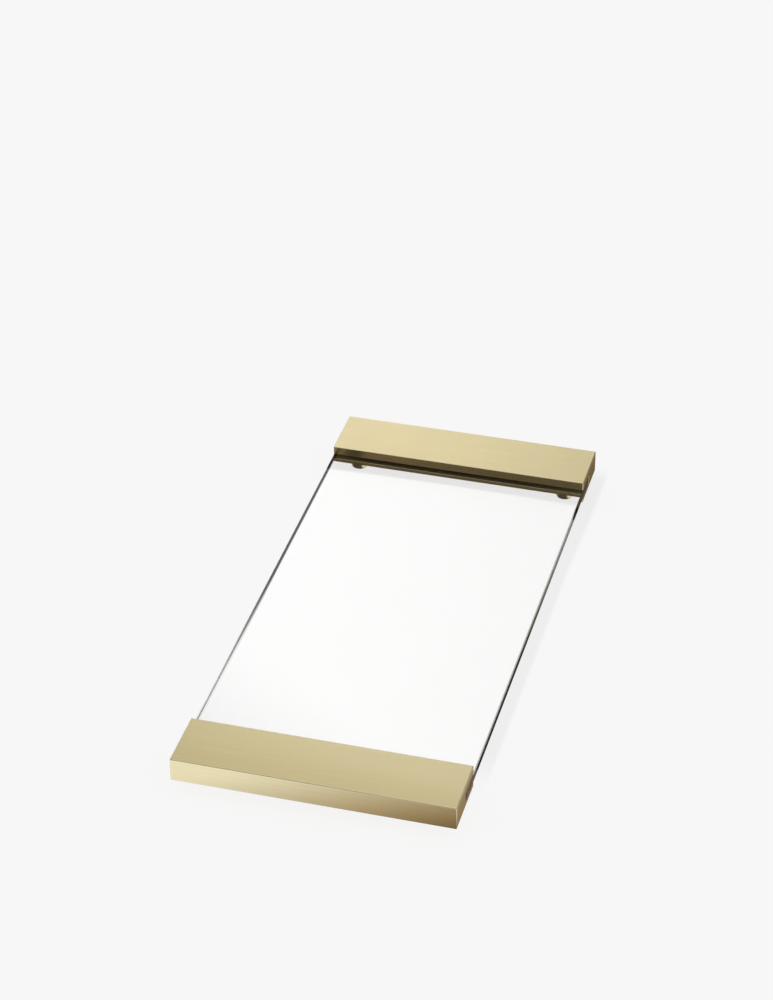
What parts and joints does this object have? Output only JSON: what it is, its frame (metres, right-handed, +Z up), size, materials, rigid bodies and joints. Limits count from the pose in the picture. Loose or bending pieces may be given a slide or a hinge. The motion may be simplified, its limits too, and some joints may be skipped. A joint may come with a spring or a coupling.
{
  "type": "dresser vanity tray",
  "caption": "Low rectangular vanity tray: a clear glass plate held in slotted, brushed brass end bars that stand on small round feet.",
  "frame": {"origin": "on the surface that the tray stands on, under the centre of the tray", "axes": "+X across the tray along its end bars, +Y along the tray towards the rear bar, +Z up"},
  "size_m": [0.136, 0.306, 0.019],
  "materials": {
    "brushed_brass": "satin brushed along the bar, clear lacquered",
    "turned_brass": "satin, turned",
    "clear_glass": "clear, polished edges",
    "stud_steel": "zinc plated",
    "tip_nylon": "matte",
    "pad_silicone": "translucent, soft",
    "slot_film": "clear double-sided adhesive film"
  },
  "bodies": {
    "root": {"glass_plate": "clear_glass", "front_end_bar": "brushed_brass", "rear_end_bar": "brushed_brass", "front_slot_tape": "slot_film", "rear_slot_tape": "slot_film", "foot_front_left": "turned_brass", "foot_front_right": "turned_brass", "foot_rear_left": "turned_brass", "foot_rear_right": "turned_brass", "clamp_stud_front_left": "stud_steel", "clamp_stud_front_right": "stud_steel", "clamp_stud_rear_left": "stud_steel", "clamp_stud_rear_right": "stud_steel", "stud_tip_front_left": "tip_nylon", "stud_tip_front_right": "tip_nylon", "stud_tip_rear_left": "tip_nylon", "stud_tip_rear_right": "tip_nylon", "foot_pad_front_left": "pad_silicone", "foot_pad_front_right": "pad_silicone", "foot_pad_rear_left": "pad_silicone", "foot_pad_rear_right": "pad_silicone"}
  },
  "joints": []
}
